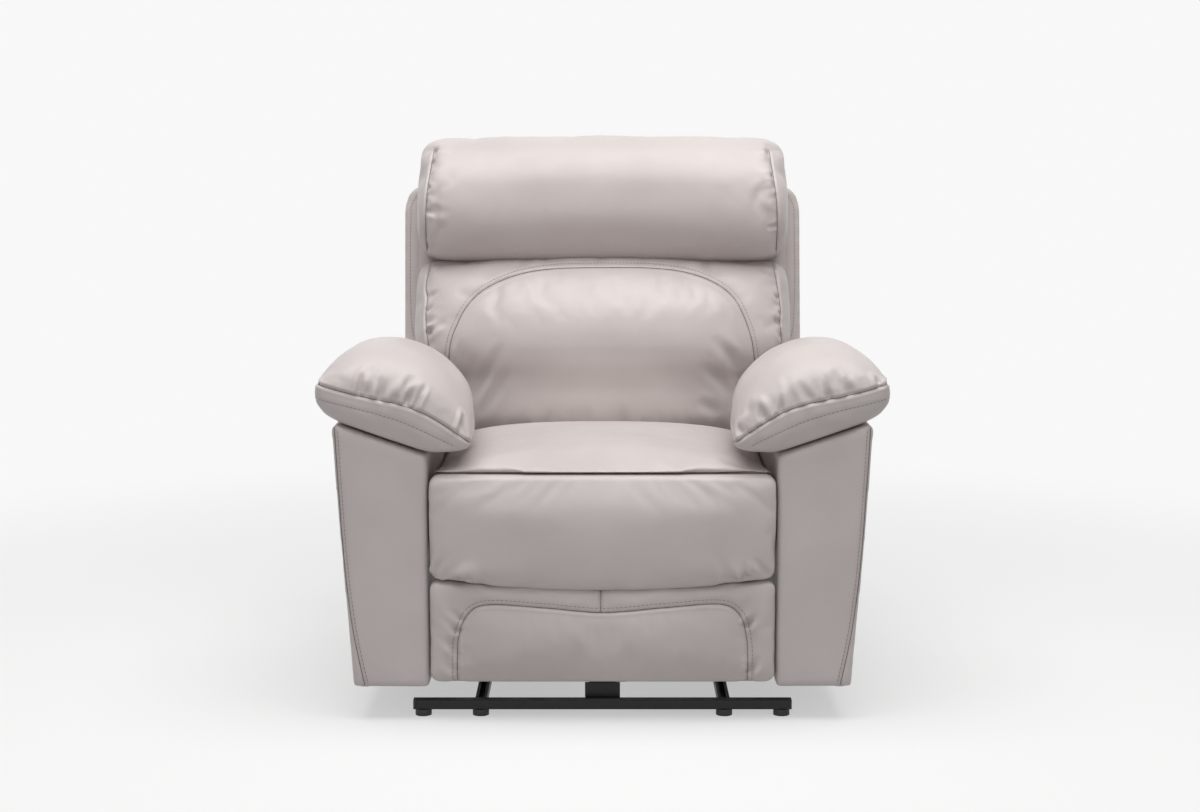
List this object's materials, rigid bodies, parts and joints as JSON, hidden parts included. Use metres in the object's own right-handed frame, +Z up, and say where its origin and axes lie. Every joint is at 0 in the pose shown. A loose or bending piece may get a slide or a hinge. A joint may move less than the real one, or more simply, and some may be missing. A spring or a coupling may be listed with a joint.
{
  "type": "powered recliner armchair",
  "caption": "Leather recliner armchair on a steel glide base; its footrest swings up on a lattice of links and its back reclines as the seat glides forward.",
  "frame": {"origin": "on the floor under the middle of the chair's box, with the chair upright and shut", "axes": "+Z up, -Y to the front of the chair, +X to the sitter's left"},
  "size_m": [0.964, 0.93, 0.9824],
  "materials": {
    "leather": "satin",
    "wood": "matte",
    "black_steel": "satin",
    "bright_steel": "satin",
    "black_plastic": "matte",
    "motor_metal": "satin",
    "drive_rail_metal": "satin",
    "button_plastic": "satin",
    "webbing": "matte"
  },
  "bodies": {
    "base": {"front_cross_rail": "black_steel", "rear_cross_rail": "black_steel", "cross_rail_caps": "black_plastic", "base_rail_left": "black_steel", "base_rail_right": "black_steel", "floor_glides": "black_plastic", "front_arm_carrier": "black_steel", "rear_arm_carrier": "black_steel", "actuator_rail": "drive_rail_metal", "actuator_brackets": "black_steel", "actuator_gearbox": "black_plastic", "actuator_motor": "motor_metal", "power_inlet": "black_plastic", "arm_frame_left": "wood", "arm_frame_right": "wood", "arm_cover_left": "leather", "arm_cover_right": "leather", "arm_pad_left": "leather", "arm_pad_right": "leather", "switch_plate": "black_plastic"},
    "seat": {"side_plate_left": "black_steel", "side_plate_right": "black_steel", "glide_hangers": "black_steel", "glide_shoes": "black_plastic", "seat_cross_tube": "black_steel", "seat_rail_left": "wood", "seat_rail_right": "wood", "seat_front_rail": "wood", "seat_rear_rail": "wood", "seat_springs": "bright_steel", "seat_cushion": "leather"},
    "drive_links": {"drive_link_left": "black_steel", "drive_link_right": "black_steel", "torque_tube": "black_steel", "drive_lever": "black_steel"},
    "idler_links": {"idler_link_left": "black_steel", "idler_link_right": "black_steel"},
    "reach_links": {"reach_link_left": "black_steel", "reach_link_right": "black_steel"},
    "guide_links": {"guide_link_left": "black_steel", "guide_link_right": "black_steel"},
    "footrest": {"footrest_bracket_left": "black_steel", "footrest_bracket_right": "black_steel", "footrest_board": "wood", "upper_footrest_pad": "leather", "lower_footrest_pad": "leather"},
    "nut": {"drive_nut": "black_plastic"},
    "back": {"back_brackets": "black_steel", "back_stiles": "wood", "back_rails": "wood", "back_webbing": "webbing", "back_shell": "leather", "lumbar_cushion": "leather", "head_pillow": "leather"},
    "open_push": {"open_button": "button_plastic"},
    "close_push": {"close_button": "button_plastic"}
  },
  "joints": [
    {"name": "seat_glide", "type": "slide", "parent": "base", "child": "seat", "axis": [0, -1, 0], "range_m": [0, 0.05]},
    {"name": "back_recline", "type": "hinge", "parent": "seat", "child": "back", "pos_m": [0, 0.23619, 0.305], "axis": [-1, 0, 0], "range_deg": [0, 32]},
    {"name": "footrest_open", "type": "hinge", "parent": "seat", "child": "drive_links", "pos_m": [0, -0.205, 0.28], "axis": [-1, 0, 0], "range_deg": [0, 80]},
    {"name": "idler_swing", "type": "hinge", "parent": "seat", "child": "idler_links", "pos_m": [0, -0.26516, 0.3158], "axis": [-1, 0, 0], "range_deg": [0, 80]},
    {"name": "reach_turn", "type": "hinge", "parent": "drive_links", "child": "reach_links", "pos_m": [0, -0.105, 0.11], "axis": [1, 0, 0], "range_deg": [0, 80]},
    {"name": "guide_turn", "type": "hinge", "parent": "drive_links", "child": "guide_links", "pos_m": [0, -0.13035, 0.1531], "axis": [1, 0, 0], "range_deg": [0, 80]},
    {"name": "footrest_tilt", "type": "hinge", "parent": "reach_links", "child": "footrest", "pos_m": [0, -0.347, 0.254], "axis": [-1, 0, 0], "range_deg": [0, 80]},
    {"name": "nut_travel", "type": "slide", "parent": "seat", "child": "nut", "axis": [0, -1, 0], "range_m": [0, 0.14141]},
    {"name": "open_press", "type": "slide", "parent": "base", "child": "open_push", "axis": [0.9976, 0, 0.0686], "range_m": [0, 0.002], "stiffness_N_per_m": 600},
    {"name": "close_press", "type": "slide", "parent": "base", "child": "close_push", "axis": [0.9976, 0, 0.0686], "range_m": [0, 0.002], "stiffness_N_per_m": 600}
  ],
  "couplings": [
    {"joint": "back_recline", "follows": "seat_glide", "rad_per_m": 11.17},
    {"joint": "idler_swing", "follows": "footrest_open", "ratio": 1},
    {"joint": "reach_turn", "follows": "footrest_open", "ratio": 1},
    {"joint": "guide_turn", "follows": "footrest_open", "ratio": 1},
    {"joint": "footrest_tilt", "follows": "footrest_open", "ratio": 1},
    {"joint": "nut_travel", "follows": "footrest_open", "m_per_rad": 0.10128}
  ]
}
